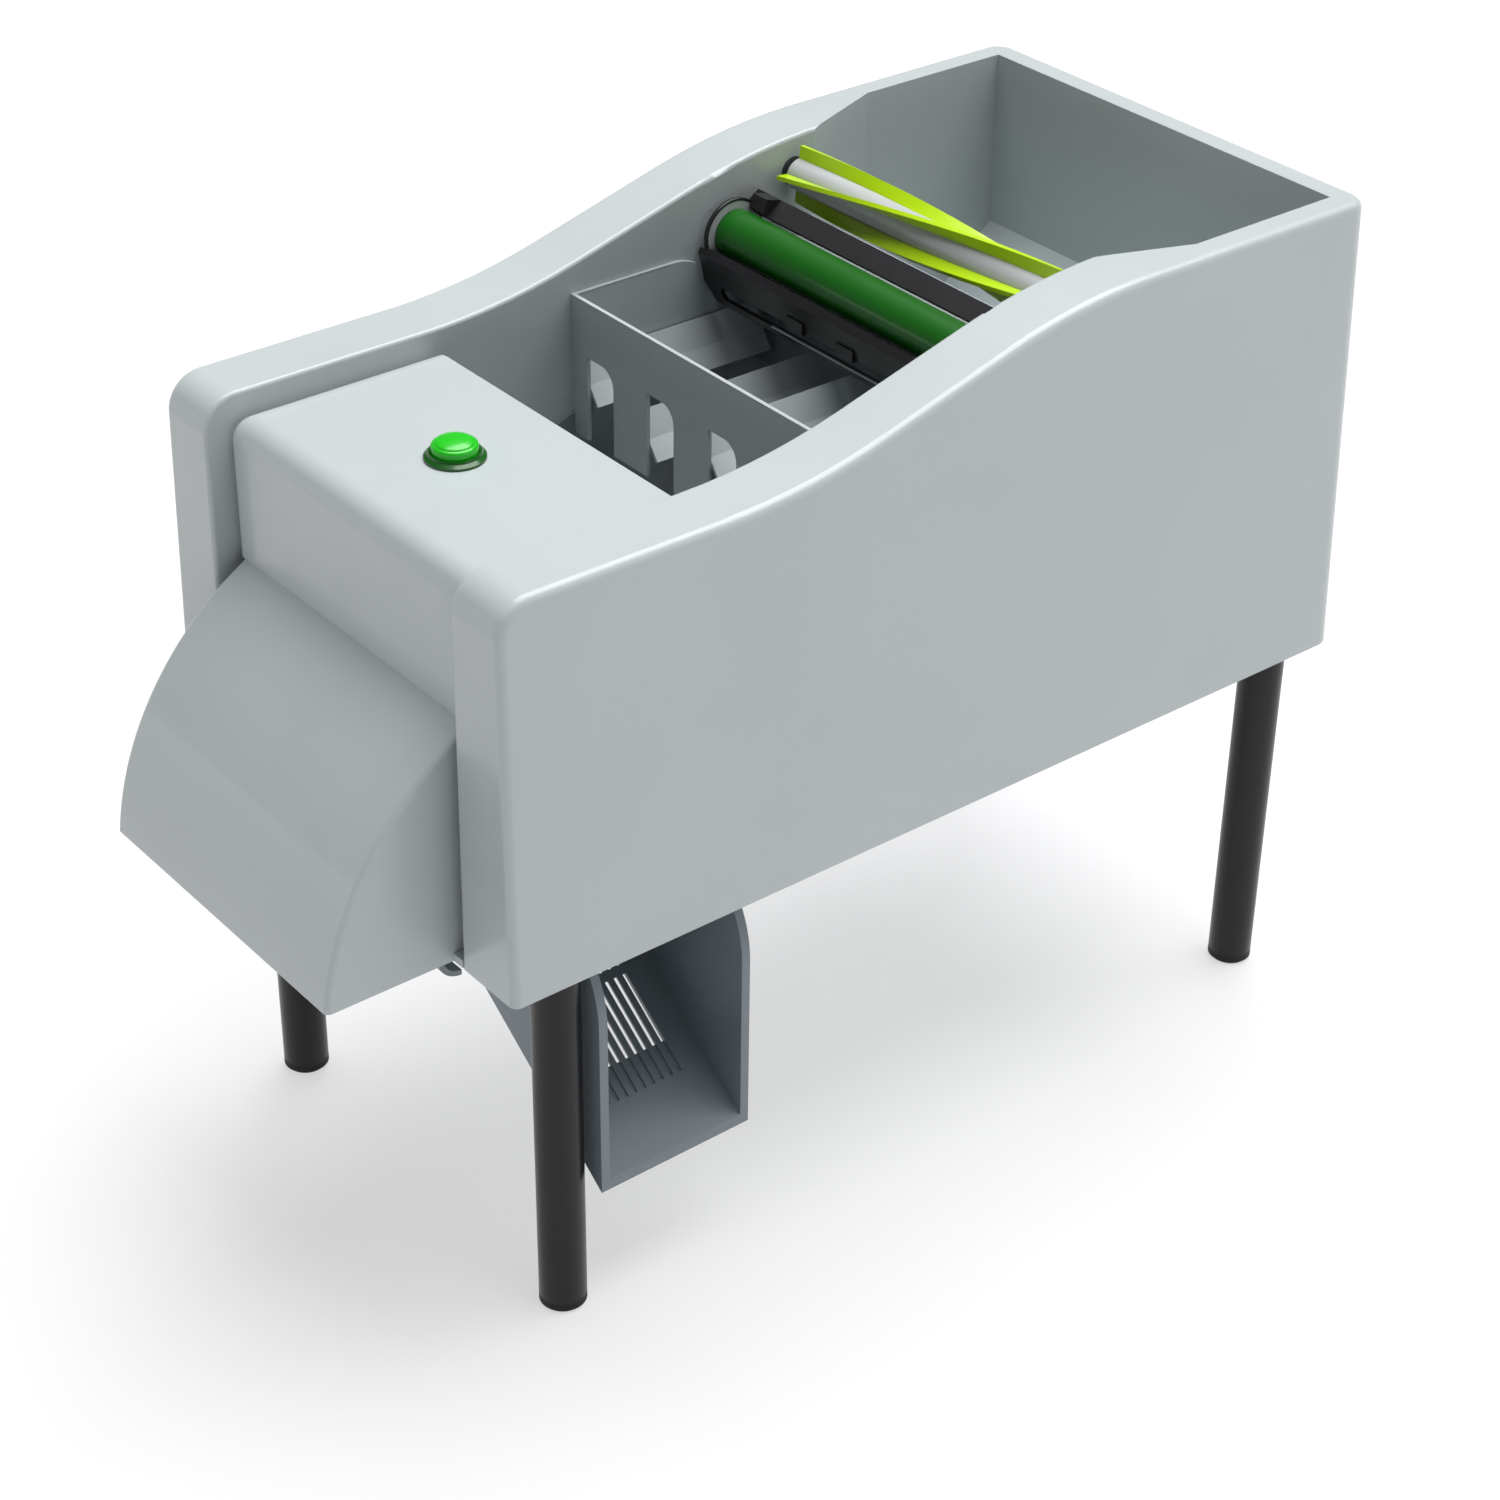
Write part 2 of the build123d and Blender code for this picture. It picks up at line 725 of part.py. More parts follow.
with BuildPart() as husk_hood:
    with BuildSketch(side_plane(hood_half)):
        with BuildLine():
            Polyline(*hood_side(hood_radius, hood_tail))
            RadiusArc(
                hood_point(hood_radius, hood_low_angle),
                hood_point(hood_radius, hood_top_angle),
                hood_radius,
            )
        make_face()
    extrude(amount=2 * hood_half)
    fillet(husk_hood.edges().filter_by(GeomType.CIRCLE), hood_edge_r)
    split(bisect_by=Plane.XY.offset(box_low_z), keep=Keep.BOTTOM)
    with BuildSketch(side_plane(hood_half - hood_t)):
        with BuildLine():
            inner = hood_radius - hood_t
            Polyline(
                hood_point(inner, hood_top_angle),
                (at(hood_tail + hood_t), hood_point(inner, hood_top_angle)[1]),
                (at(hood_tail + hood_t), under_z - hood_t),
                (hood_centre[0] - inner * cos(hood_low_angle), under_z - hood_t),
                hood_point(inner, hood_low_angle),
            )
            RadiusArc(
                hood_point(inner, hood_low_angle), hood_point(inner, hood_top_angle), inner
            )
        make_face()
    extrude(amount=2 * (hood_half - hood_t), mode=Mode.SUBTRACT)
    with BuildSketch(Plane.XY.offset(under_z)):
        with Locations((at(hood_tail / 2), 0)):
            Rectangle(hood_tail, 2 * hood_half)
    extrude(amount=plate_t, mode=Mode.SUBTRACT)
finish(husk_hood.part, "husk_hood")

husk_line = (
    (at(husk_nose[0]), under_z),
    spot(husk_nose),
    (at(divider_station - seat_gap), husk_high_z),
)
lip_centre_x = at(husk_nose[0]) + lip_r
with BuildPart() as husk_floor:
    with BuildSketch(side_plane(channel_half)):
        with BuildLine():
            Polyline(*sheet(husk_line, floor_t), close=True)
        make_face()
        with BuildLine():
            RadiusArc(
                (lip_centre_x - lip_r, under_z), (lip_centre_x, under_z - lip_r), -lip_r
            )
            Line((lip_centre_x, under_z - lip_r), (lip_centre_x, under_z - lip_r + floor_t))
            RadiusArc(
                (lip_centre_x, under_z - lip_r + floor_t),
                (lip_centre_x - lip_r + floor_t, under_z),
                lip_r - floor_t,
            )
            Line((lip_centre_x - lip_r + floor_t, under_z), (lip_centre_x - lip_r, under_z))
        make_face()
    extrude(amount=2 * channel_half)
    with BuildSketch(side_plane(channel_half)):
        with BuildLine():
            Polyline(
                (at(divider_station - seat_gap), husk_high_z),
                (at(divider_station - seat_gap), husk_high_z + flange_h),
                (at(box_back), husk_high_z + flange_h - (divider_station - box_back) * husk_fall),
                (at(box_back), husk_high_z - (divider_station - box_back) * husk_fall),
                close=True,
            )
        make_face()
    extrude(amount=sheet_t)
    mirror(about=Plane.XZ)
    with BuildSketch(Plane.XY.offset(under_z - lip_r)):
        with Locations((at((hood_tail - hood_reach) / 2), 0)):
            Rectangle(hood_tail + hood_reach, body_width)
            Rectangle(hood_tail + hood_reach, 2 * (hood_half - hood_t), mode=Mode.SUBTRACT)
    extrude(amount=husk_high_z, mode=Mode.SUBTRACT)
finish(husk_floor.part, "husk_floor")

# ---------------------------------------------------------------- separator box
separator_end = divider_station + separator_length
with BuildPart() as separator_frame:
    with BuildSketch(side_plane(channel_half)):
        with BuildLine():
            Polyline(
                (at(separator_end), separator_low_z),
                (at(divider_station), separator_low_z),
                (at(divider_station), separator_top_z),
                (at(separator_end - separator_round), separator_top_z),
            )
            RadiusArc(
                (at(separator_end - separator_round), separator_top_z),
                (at(separator_end), separator_top_z - separator_round),
                separator_round,
            )
            Line(
                (at(separator_end), separator_top_z - separator_round),
                (at(separator_end), separator_low_z),
            )
        make_face()
    extrude(amount=sheet_t)
    mirror(about=Plane.XZ)
    with BuildSketch(cross_plane(divider_station)):
        with Locations((0, (separator_low_z + separator_top_z) / 2)):
            Rectangle(2 * channel_half, separator_top_z - separator_low_z)
    extrude(amount=sheet_t)
    with BuildSketch(cross_plane(divider_station)) as slots:
        for i in range(slot_count):
            y = slot_first_y - i * slot_pitch
            with BuildLine():
                Polyline(
                    (y - slot_width / 2, slot_top_z - slot_round),
                    (y - slot_width / 2, separator_low_z),
                    (y + slot_width / 2, separator_low_z),
                    (y + slot_width / 2, slot_top_z),
                    (y - slot_width / 2 + slot_round, slot_top_z),
                )
                TangentArc(
                    (y - slot_width / 2 + slot_round, slot_top_z),
                    (y - slot_width / 2, slot_top_z - slot_round),
                    tangent=(-1, 0),
                )
            make_face()
    extrude(amount=sheet_t, mode=Mode.SUBTRACT)
finish(separator_frame.part, "separator_frame")

with BuildPart() as separator_louvres:
    with BuildSketch(cross_plane(divider_station + sheet_t)):
        for i in range(slot_count):
            y = louvre_first_y - i * slot_pitch
            z = louvre_low_z if i % 2 else louvre_high_z
            with BuildLine():
                Polyline(
                    *sheet(
                        (
                            (y, z),
                            (y + louvre_bend[0], z + louvre_bend[1]),
                            (y + louvre_foot[0], z + louvre_foot[1]),
                        ),
                        -louvre_t,
                    ),
                    close=True,
                )
            make_face()
    extrude(amount=louvre_length - sheet_t)
finish(separator_louvres.part, "separator_louvres")

# ---------------------------------------------------------------- guard and nip cover
with BuildPart() as roller_guard:
    with BuildSketch(side_plane(channel_half - sheet_t)):
        with BuildLine():
            Polyline(
                *sheet(
                    tuple(spot(p) for p in (guard_foot, guard_waist, guard_nose, guard_top)),
                    guard_t,
                ),
                close=True,
            )
        make_face()
    extrude(amount=2 * (channel_half - sheet_t))
    with BuildSketch(cross_plane(guard_nose[0] - guard_t)):
        with Locations((0, (guard_slot_low + guard_slot_high) / 2)):
            SlotOverall(2 * guard_slot_half, guard_slot_high - guard_slot_low)
        for side in (1, -1):
            with BuildLine():
                Polyline(
                    (side * channel_half, guard_foot[1] - guard_t),
                    (side * channel_half, guard_foot[1] + guard_corner),
                    (side * (channel_half - guard_corner - guard_t), guard_foot[1] - guard_t),
                    close=True,
                )
            make_face()
    extrude(amount=6 * guard_t, mode=Mode.SUBTRACT)
    for y in (channel_half, -flange_inner_y):
        with BuildSketch(side_plane(y)):
            with Locations(roller_at):
                Circle(flange_r + 2 * seat_gap)
        extrude(amount=channel_half - flange_inner_y, mode=Mode.SUBTRACT)
finish(roller_guard.part, "roller_guard")

with BuildPart() as nip_cover:
    with BuildSketch(side_plane(channel_half)):
        with BuildLine():
            Polyline(
                *sheet(tuple(spot(p) for p in (cover_low, cover_high, cover_tail)), cover_t),
                close=True,
            )
        make_face()
    extrude(amount=2 * channel_half)
    for y in (flange_inner_y, cover_end_width - flange_inner_y):
        with BuildSketch(side_plane(y)):
            with BuildLine():
                Polyline(
                    spot(cover_end_low),
                    spot(cover_end_peak),
                    spot(cover_high),
                    spot(cover_low),
                    close=True,
                )
            make_face()
        extrude(amount=cover_end_width)
    for y in (channel_half, -flange_inner_y):
        with BuildSketch(side_plane(y)):
            with Locations(roller_at):
                Circle(flange_r + 2 * seat_gap)
        extrude(amount=channel_half - flange_inner_y, mode=Mode.SUBTRACT)
finish(nip_cover.part, "nip_cover")

# ---------------------------------------------------------------- floors and slide
with BuildPart() as feed_plate:
    with BuildSketch(side_plane(hopper_half)):
        with BuildLine():
            Polyline(
                *sheet(tuple(spot(p) for p in (apron_lip, apron_bend, apron_foot)), floor_t),
                close=True,
            )
        make_face()
    extrude(amount=2 * hopper_half)
    with BuildSketch(Plane.XY.offset(flare_floor_z)):
        with BuildLine():
            Polyline(*inner_plan(), close=True)
        make_face()
    extrude(amount=rim_z - flare_floor_z, mode=Mode.INTERSECT)
finish(feed_plate.part, "feed_plate")

with BuildPart() as hopper_floor:
    with BuildSketch(side_plane(hopper_half)):
        with BuildLine():
            Polyline(
                *sheet((spot(slope_foot), (at(hopper_back), slope_top_z)), floor_t),
                close=True,
            )
        make_face()
    extrude(amount=2 * hopper_half)
    with BuildSketch(Plane.XY.offset(flare_floor_z)):
        with BuildLine():
            Polyline(*inner_plan(), close=True)
        make_face()
    extrude(amount=rim_z - flare_floor_z, mode=Mode.INTERSECT)
finish(hopper_floor.part, "hopper_floor")

with BuildPart() as pea_slide:
    with BuildSketch(side_plane(channel_half)):
        with BuildLine():
            Polyline(*sheet((spot(slide_low), spot(slide_high)), floor_t), close=True)
        make_face()
    extrude(amount=2 * channel_half)
finish(pea_slide.part, "pea_slide")

# ---------------------------------------------------------------- pea chute
fall = tan(radians(chute_angle))
floor_rise = chute_t / cos(radians(chute_angle))
chute_back_y = chute_front_y + (under_z - chute_lip_z) / fall


def chute_floor_z(y):
    """Height of the chute's outer floor."""
    return chute_lip_z + (y - chute_front_y) * fall


chute_floor = Plane(
    origin=(at((chute_low + chute_high) / 2), chute_front_y, chute_lip_z + floor_rise),
    x_dir=(1, 0, 0),
    z_dir=(0, -sin(radians(chute_angle)), cos(radians(chute_angle))),
)

with BuildPart() as pea_chute:
    with BuildSketch(cross_plane(chute_low)):
        with BuildLine():
            Polyline(
                (chute_front_y, chute_straight_z),
                (chute_front_y, chute_lip_z),
                (chute_back_y, under_z),
                (chute_mouth_y, under_z),
            )
            TangentArc(
                (chute_front_y, chute_straight_z), (chute_mouth_y, under_z), tangent=(0, 1)
            )
        make_face()
    extrude(amount=chute_high - chute_low)
    with BuildSketch(cross_plane(chute_low + chute_t)):
        with BuildLine():
            Polyline(
                (2 * chute_front_y, chute_floor_z(2 * chute_front_y) + floor_rise),
                (chute_back_y, chute_floor_z(chute_back_y) + floor_rise),
                (2 * chute_front_y, chute_floor_z(chute_back_y) + floor_rise),
                close=True,
            )
        make_face()
    extrude(amount=chute_high - chute_low - 2 * chute_t, mode=Mode.SUBTRACT)
    with BuildSketch(chute_floor.offset(-sieve_t)):
        with Locations((-sieve_shift, (sieve_rows[0][0] + sieve_rows[1][1]) / 2)):
            Rectangle(
                (sieve_count - 1) * sieve_pitch + sieve_w + sieve_margin,
                sieve_rows[1][1] - sieve_rows[0][0] + sieve_margin,
            )
    extrude(amount=-chute_t, mode=Mode.SUBTRACT)
    with BuildSketch(chute_floor):
        for low, high in sieve_rows:
            with Locations((-sieve_shift, (low + high) / 2)):
                with GridLocations(sieve_pitch, 1, sieve_count, 1):
                    Rectangle(sieve_w, high - low)
    extrude(amount=-chute_t, mode=Mode.SUBTRACT)
    with BuildSketch(chute_floor):
        with Locations((-sieve_shift, (groove_low + sieve_rows[0][0]) / 2)):
            with GridLocations(sieve_pitch, 1, sieve_count, 1):
                Rectangle(sieve_w, sieve_rows[0][0] - groove_low)
    extrude(amount=-groove_depth, mode=Mode.SUBTRACT)
finish(pea_chute.part, "pea_chute")

# ---------------------------------------------------------------- roller pair
near_end_y = gear_near_y - gear_width - shaft_overhang
far_end_y = gear_far_y + gear_width + shaft_overhang

with BuildPart() as roller_shaft:
    with BuildSketch(side_plane(far_end_y)):
        with Locations(roller_at):
            Circle(shaft_r)
    extrude(amount=far_end_y - near_end_y)
    chamfer(roller_shaft.edges(), end_chamfer)
finish(roller_shaft.part, "roller_shaft")

with BuildPart() as roller_core:
    with BuildSketch(side_plane(roller_half)):
        with Locations(roller_at):
            Circle(core_r)
            Circle(shaft_r, mode=Mode.SUBTRACT)
    extrude(amount=2 * roller_half)
finish(roller_core.part, "roller_core")

with BuildPart() as rubber_roller:
    with BuildSketch(side_plane(roller_half - flange_t)):
        with Locations(roller_at):
            Circle(roller_r)
            Circle(core_r, mode=Mode.SUBTRACT)
    extrude(amount=2 * (roller_half - flange_t))
finish(rubber_roller.part, "rubber_roller")

with BuildPart() as roller_flanges:
    for y in (roller_half, -roller_half + flange_t):
        with BuildSketch(side_plane(y)):
            with Locations(roller_at):
                Circle(flange_r)
                Circle(core_r, mode=Mode.SUBTRACT)
        extrude(amount=flange_t)
finish(roller_flanges.part, "roller_flanges")

with BuildPart() as counter_roller:
    with BuildSketch(side_plane(roller_half - flange_t - seat_gap)):
        with Locations(counter_at):
            Circle(counter_r)
            with PolarLocations(counter_r, flute_count):
                Circle(flute_depth, mode=Mode.SUBTRACT)
    extrude(amount=2 * (roller_half - flange_t - seat_gap))
    with BuildSketch(side_plane(channel_half + skin)):
        with Locations(counter_at):
            Circle(shaft_r)
    extrude(amount=channel_half + skin - near_end_y)
finish(counter_roller.part, "counter_roller")

# ---------------------------------------------------------------- agitator
with BuildPart() as agitator_shaft:
    with BuildSketch(side_plane(far_end_y)):
        with Locations(agitator_at):
            Circle(agitator_shaft_r)
    extrude(amount=far_end_y + channel_half + skin)
    chamfer(agitator_shaft.edges(), end_chamfer)
finish(agitator_shaft.part, "agitator_shaft")

with BuildPart() as agitator_tube:
    with BuildSketch(side_plane(agitator_half)):
        with Locations(agitator_at):
            Circle(tube_r)
            Circle(agitator_shaft_r, mode=Mode.SUBTRACT)
    extrude(amount=2 * agitator_half)
finish(agitator_tube.part, "agitator_tube")

with BuildPart() as agitator_blades:
    for blade in range(blade_count):
        start_phase = blade_phase + blade * 360 / blade_count
        for step in range(blade_steps + 1):
            along = step / blade_steps
            with BuildSketch(side_plane(agitator_half - along * 2 * agitator_half)):
                with Locations(agitator_at):
                    with PolarLocations(
                        (tube_r + blade_gap + blade_r) / 2,
                        1,
                        start_angle=start_phase - along * blade_twist,
                    ):
                        Rectangle(blade_r - tube_r - blade_gap, blade_t)
        loft()
finish(agitator_blades.part, "agitator_blades")

# ---------------------------------------------------------------- gears
idler_phase = heading(idler_at, motor_at)
gears = {
    "drive_pinion": (
        pinion_teeth, motor_at, motor_shaft_r, gear_far_y,
        mate_phase(idler_phase, idler_teeth, idler_at, pinion_teeth, motor_at),
    ),
    "idler_gear": (
        idler_teeth, idler_at, idler_pin_r + running_gap, gear_far_y, idler_phase,
    ),
    "roller_gear": (
        drive_teeth, roller_at, shaft_r, gear_far_y,
        mate_phase(idler_phase, idler_teeth, idler_at, drive_teeth, roller_at),
    ),
    "agitator_gear": (
        agitator_teeth, agitator_at, agitator_shaft_r, gear_far_y,
        mate_phase(idler_phase, idler_teeth, idler_at, agitator_teeth, agitator_at),
    ),
    "sync_gear_upper": (
        sync_teeth, roller_at, shaft_r, gear_near_y - gear_width,
        heading(roller_at, counter_at),
    ),
    "sync_gear_lower": (
        sync_teeth, counter_at, shaft_r, gear_near_y - gear_width,
        mate_phase(
            heading(roller_at, counter_at), sync_teeth, roller_at, sync_teeth, counter_at
        ),
    ),
}
for name, (teeth, centre, bore_r, low_y, phase) in gears.items():
    with BuildPart() as gear:
        with BuildSketch(side_plane(low_y + gear_width)):
            with BuildLine():
                Polyline(*gear_outline(teeth, centre, phase), close=True)
            make_face()
            with Locations(centre):
                Circle(bore_r, mode=Mode.SUBTRACT)
        extrude(amount=gear_width)
    finish(gear.part, name)

with BuildPart() as idler_pin:
    with BuildSketch(side_plane(far_end_y)):
        with Locations(idler_at):
            Circle(idler_pin_r)
    extrude(amount=far_end_y - channel_half)
    with BuildSketch(side_plane(gear_far_y - seat_gap)):
        with Locations(idler_at):
            Circle(idler_collar_r)
    extrude(amount=gear_far_y - seat_gap - channel_half - 2 * skin)
finish(idler_pin.part, "idler_pin")

# ---------------------------------------------------------------- motor
with BuildPart() as gearbox_case:
    with BuildSketch(side_plane(channel_half)):
        with Locations(motor_at):
            Circle(gearbox_r)
            Circle(motor_shaft_r + running_gap, mode=Mode.SUBTRACT)
    extrude(amount=gearbox_length)
finish(gearbox_case.part, "gearbox_case")

can_top_y = channel_half - gearbox_length
with BuildPart() as motor_can:
    with BuildSketch(side_plane(can_top_y)):
        with Locations(motor_at):
            Circle(can_r)
    extrude(amount=can_length)
    chamfer(motor_can.faces().sort_by(Axis.Y)[0].edges(), can_chamfer)
finish(motor_can.part, "motor_can")

with BuildPart() as motor_shaft:
    with BuildSketch(side_plane(far_end_y)):
        with Locations(motor_at):
            Circle(motor_shaft_r)
    extrude(amount=far_end_y - can_top_y - seat_gap)
finish(motor_shaft.part, "motor_shaft")

shroud_r = gearbox_r + shroud_gap
shroud_length = gearbox_length + can_length + 2 * shroud_gap
with BuildPart() as motor_shroud:
    with BuildSketch(side_plane(channel_half)):
        with Locations(motor_at):
            Circle(shroud_r + shroud_t)
        with Locations((motor_at[0], motor_at[1] - shroud_skirt / 2 - shroud_r)):
            Rectangle(3 * shroud_r, 2 * shroud_r, mode=Mode.SUBTRACT)
        with Locations((motor_at[0], motor_at[1] - shroud_skirt / 4)):
            Rectangle(2 * (shroud_r + shroud_t), shroud_skirt / 2)
    extrude(amount=shroud_length)
    with BuildSketch(side_plane(channel_half)):
        with Locations(motor_at):
            Circle(shroud_r)
        with Locations((motor_at[0], motor_at[1] - shroud_r / 2)):
            Rectangle(2 * shroud_r, shroud_r)
    extrude(amount=shroud_length - shroud_t, mode=Mode.SUBTRACT)
finish(motor_shroud.part, "motor_shroud")

# ---------------------------------------------------------------- bushes
bush_sets = {
    "roller_bushes": (roller_at, shaft_r),
    "counter_bushes": (counter_at, shaft_r),
    "agitator_bushes": (agitator_at, agitator_shaft_r),
}
bush_end = channel_half + skin + bush_flange
for name, (centre, inner_r) in bush_sets.items():
    with BuildPart() as bushes:
        with BuildSketch(side_plane(bush_end)):
            with Locations(centre):
                Circle(inner_r + bush_wall + bush_flange)
                Circle(inner_r + running_gap, mode=Mode.SUBTRACT)
        extrude(amount=bush_flange)
        with BuildSketch(side_plane(channel_half + skin)):
            with Locations(centre):
                Circle(inner_r + bush_wall)
                Circle(inner_r + running_gap, mode=Mode.SUBTRACT)
        extrude(amount=skin)
        mirror(about=Plane.XZ)
    finish(bushes.part, name)

# ---------------------------------------------------------------- power inlet
with BuildPart() as power_inlet:
    with BuildSketch(Plane.YZ.offset(at(hopper_back - inlet_flange_t))):
        with Locations((inlet_y, inlet_z)):
            Circle(inlet_r)
    extrude(amount=body_length - hopper_back + inlet_flange_t - inlet_sunk)
    with BuildSketch(Plane.YZ.offset(at(hopper_back - inlet_flange_t))):
        with Locations((inlet_y, inlet_z)):
            Circle(inlet_flange_r)
    extrude(amount=inlet_flange_t)
    with BuildSketch(Plane.YZ.offset(at(body_length))):
        with Locations((inlet_y, inlet_z)):
            Circle(inlet_bore_r)
    extrude(amount=-inlet_bore_depth, mode=Mode.SUBTRACT)
finish(power_inlet.part, "power_inlet")

# ---------------------------------------------------------------- legs
for name, place in legs_at.items():
    with BuildPart() as leg:
        with BuildSketch(Plane.XY.offset(foot_h)):
            with Locations(place):
                Circle(leg_r)
        extrude(amount=under_z - foot_h)
        with BuildSketch(Plane.XY.offset(under_z)):
            with Locations(place):
                Circle(spigot_r)
        extrude(amount=plate_t + spigot_h)
    finish(leg.part, f"leg_{name}")
    with BuildPart() as foot_pad:
        with BuildSketch():
            with Locations(place):
                Circle(leg_r)
        extrude(amount=foot_h)
        chamfer(foot_pad.faces().sort_by(Axis.Z)[0].edges(), foot_chamfer)
    finish(foot_pad.part, f"foot_{name}")
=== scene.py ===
"""Looks of the electric pea sheller: finishes, small visible pieces, camera and studio light."""

import bpy
import json
import math
from mathutils import Matrix, Vector


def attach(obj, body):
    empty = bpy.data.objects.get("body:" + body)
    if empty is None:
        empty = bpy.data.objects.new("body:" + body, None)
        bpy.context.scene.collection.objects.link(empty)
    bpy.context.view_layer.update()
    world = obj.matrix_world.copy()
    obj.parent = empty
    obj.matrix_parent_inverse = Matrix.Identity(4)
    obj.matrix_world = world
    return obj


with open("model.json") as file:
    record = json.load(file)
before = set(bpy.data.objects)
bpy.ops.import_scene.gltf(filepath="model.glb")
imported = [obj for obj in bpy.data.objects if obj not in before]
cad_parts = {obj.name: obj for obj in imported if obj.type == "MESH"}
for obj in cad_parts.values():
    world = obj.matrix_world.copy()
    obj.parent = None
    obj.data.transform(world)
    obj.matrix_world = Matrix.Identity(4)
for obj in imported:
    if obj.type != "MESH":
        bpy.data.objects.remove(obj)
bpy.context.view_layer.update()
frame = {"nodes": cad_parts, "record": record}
NODES = frame["nodes"]
MM = 0.001
WHITE = (1.0, 1.0, 1.0, 1.0)


def add_to_scene(obj):
    bpy.context.scene.collection.objects.link(obj)


# ------------------------------------------------------------------ finishes
# Texture scales are in waves per metre, depths in metres.

# parts of a noise texture's spread that tones and roughness are mapped over
TONE_SPREAD = (0.35, 0.65)
GLOSS_SPREAD = (0.3, 0.7)

# moulded plastic
TONE_SCALE, TONE_DETAIL = 14.0, 4.0
GLOSS_SCALE, GLOSS_DETAIL = 60.0, 5.0
SMOOTHER, ROUGHER = 0.02, 0.03
GRAIN_DETAIL, GRAIN_STRENGTH = 2.0, 0.25

# turned or brushed metal
LINE_SCALE, SHEEN_SCALE = 900.0, 300.0
METAL_DETAIL, METAL_NOISE = 3.0, 0.6
LINE_SHADE = 0.9
SHINIER, DULLER = 0.06, 0.08
LINE_STRENGTH, LINE_DEPTH = 0.15, 0.00001


def srgb(r, g, b):
    """Linear colour from 8-bit display values."""
    out = []
    for v in (r, g, b):
        c = v / 255.0
        out.append(((c + 0.055) / 1.055) ** 2.4 if c > 0.04045 else c / 12.92)
    return (out[0], out[1], out[2], 1.0)


def shade(colour, factor):
    return (colour[0] * factor, colour[1] * factor, colour[2] * factor, 1.0)


def new_material(name):
    """Material with its node tree and its shader."""
    mat = bpy.data.materials.new(name)
    mat.use_nodes = True
    tree = mat.node_tree
    return mat, tree, tree.nodes["Principled BSDF"]


def noise(tree, scale, detail=3.0, rough=0.5, stretch=None):
    """Noise in the piece's own coordinates, metres."""
    coords = tree.nodes.new("ShaderNodeTexCoord")
    source = coords.outputs["Object"]
    if stretch is not None:
        mapping = tree.nodes.new("ShaderNodeMapping")
        mapping.inputs["Scale"].default_value = stretch
        tree.links.new(source, mapping.inputs["Vector"])
        source = mapping.outputs["Vector"]
    tex = tree.nodes.new("ShaderNodeTexNoise")
    tex.inputs["Scale"].default_value = scale
    tex.inputs["Detail"].default_value = detail
    tex.inputs["Roughness"].default_value = rough
    tree.links.new(source, tex.inputs["Vector"])
    return tex.outputs["Fac"]


def ramp(tree, source, low, high):
    """Blend from one colour to another over the middle of the noise."""
    node = tree.nodes.new("ShaderNodeValToRGB")
    for element, position, colour in zip(node.color_ramp.elements, TONE_SPREAD, (low, high)):
        element.position = position
        element.color = colour
    tree.links.new(source, node.inputs["Fac"])
    return node.outputs["Color"]


def value_range(tree, source, spread, values):
    """Value mapped from one range to another."""
    node = tree.nodes.new("ShaderNodeMapRange")
    for label, value in zip(("From Min", "From Max", "To Min", "To Max"), (*spread, *values)):
        node.inputs[label].default_value = value
    tree.links.new(source, node.inputs["Value"])
    return node.outputs["Result"]


def bump(tree, bsdf, source, strength, distance):
    """Fine relief on the shader's normal."""
    node = tree.nodes.new("ShaderNodeBump")
    node.inputs["Strength"].default_value = strength
    node.inputs["Distance"].default_value = distance
    tree.links.new(source, node.inputs["Height"])
    tree.links.new(node.outputs["Normal"], bsdf.inputs["Normal"])


def moulded(
    name, colour, rough, grain=1600.0, depth=0.000008, drift=0.015, coat=0.0, level=0.5, polish=0.12
):
    """Moulded plastic: a fine grain, a slow drift of tone and of gloss."""
    mat, tree, bsdf = new_material(name)
    drifting = noise(tree, TONE_SCALE, TONE_DETAIL)
    tone = ramp(tree, drifting, shade(colour, 1 - drift), shade(colour, 1 + drift))
    tree.links.new(tone, bsdf.inputs["Base Color"])
    clouds = noise(tree, GLOSS_SCALE, GLOSS_DETAIL)
    gloss = value_range(tree, clouds, GLOSS_SPREAD, (rough - SMOOTHER, rough + ROUGHER))
    tree.links.new(gloss, bsdf.inputs["Roughness"])
    bump(tree, bsdf, noise(tree, grain, GRAIN_DETAIL), GRAIN_STRENGTH, depth)
    bsdf.inputs["Specular IOR Level"].default_value = level
    bsdf.inputs["Coat Weight"].default_value = coat
    bsdf.inputs["Coat Roughness"].default_value = polish
    return mat


def metal(name, colour, rough, stretch):
    """Turned or brushed metal with fine lines along the work."""
    mat, tree, bsdf = new_material(name)
    bsdf.inputs["Metallic"].default_value = 1.0
    lines = noise(tree, LINE_SCALE, METAL_DETAIL, METAL_NOISE, stretch)
    tone = ramp(tree, lines, shade(colour, LINE_SHADE), colour)
    tree.links.new(tone, bsdf.inputs["Base Color"])
    clouds = noise(tree, SHEEN_SCALE, METAL_DETAIL, METAL_NOISE, stretch)
    gloss = value_range(tree, clouds, GLOSS_SPREAD, (rough - SHINIER, rough + DULLER))
    tree.links.new(gloss, bsdf.inputs["Roughness"])
    bump(tree, bsdf, lines, LINE_STRENGTH, LINE_DEPTH)
    return mat


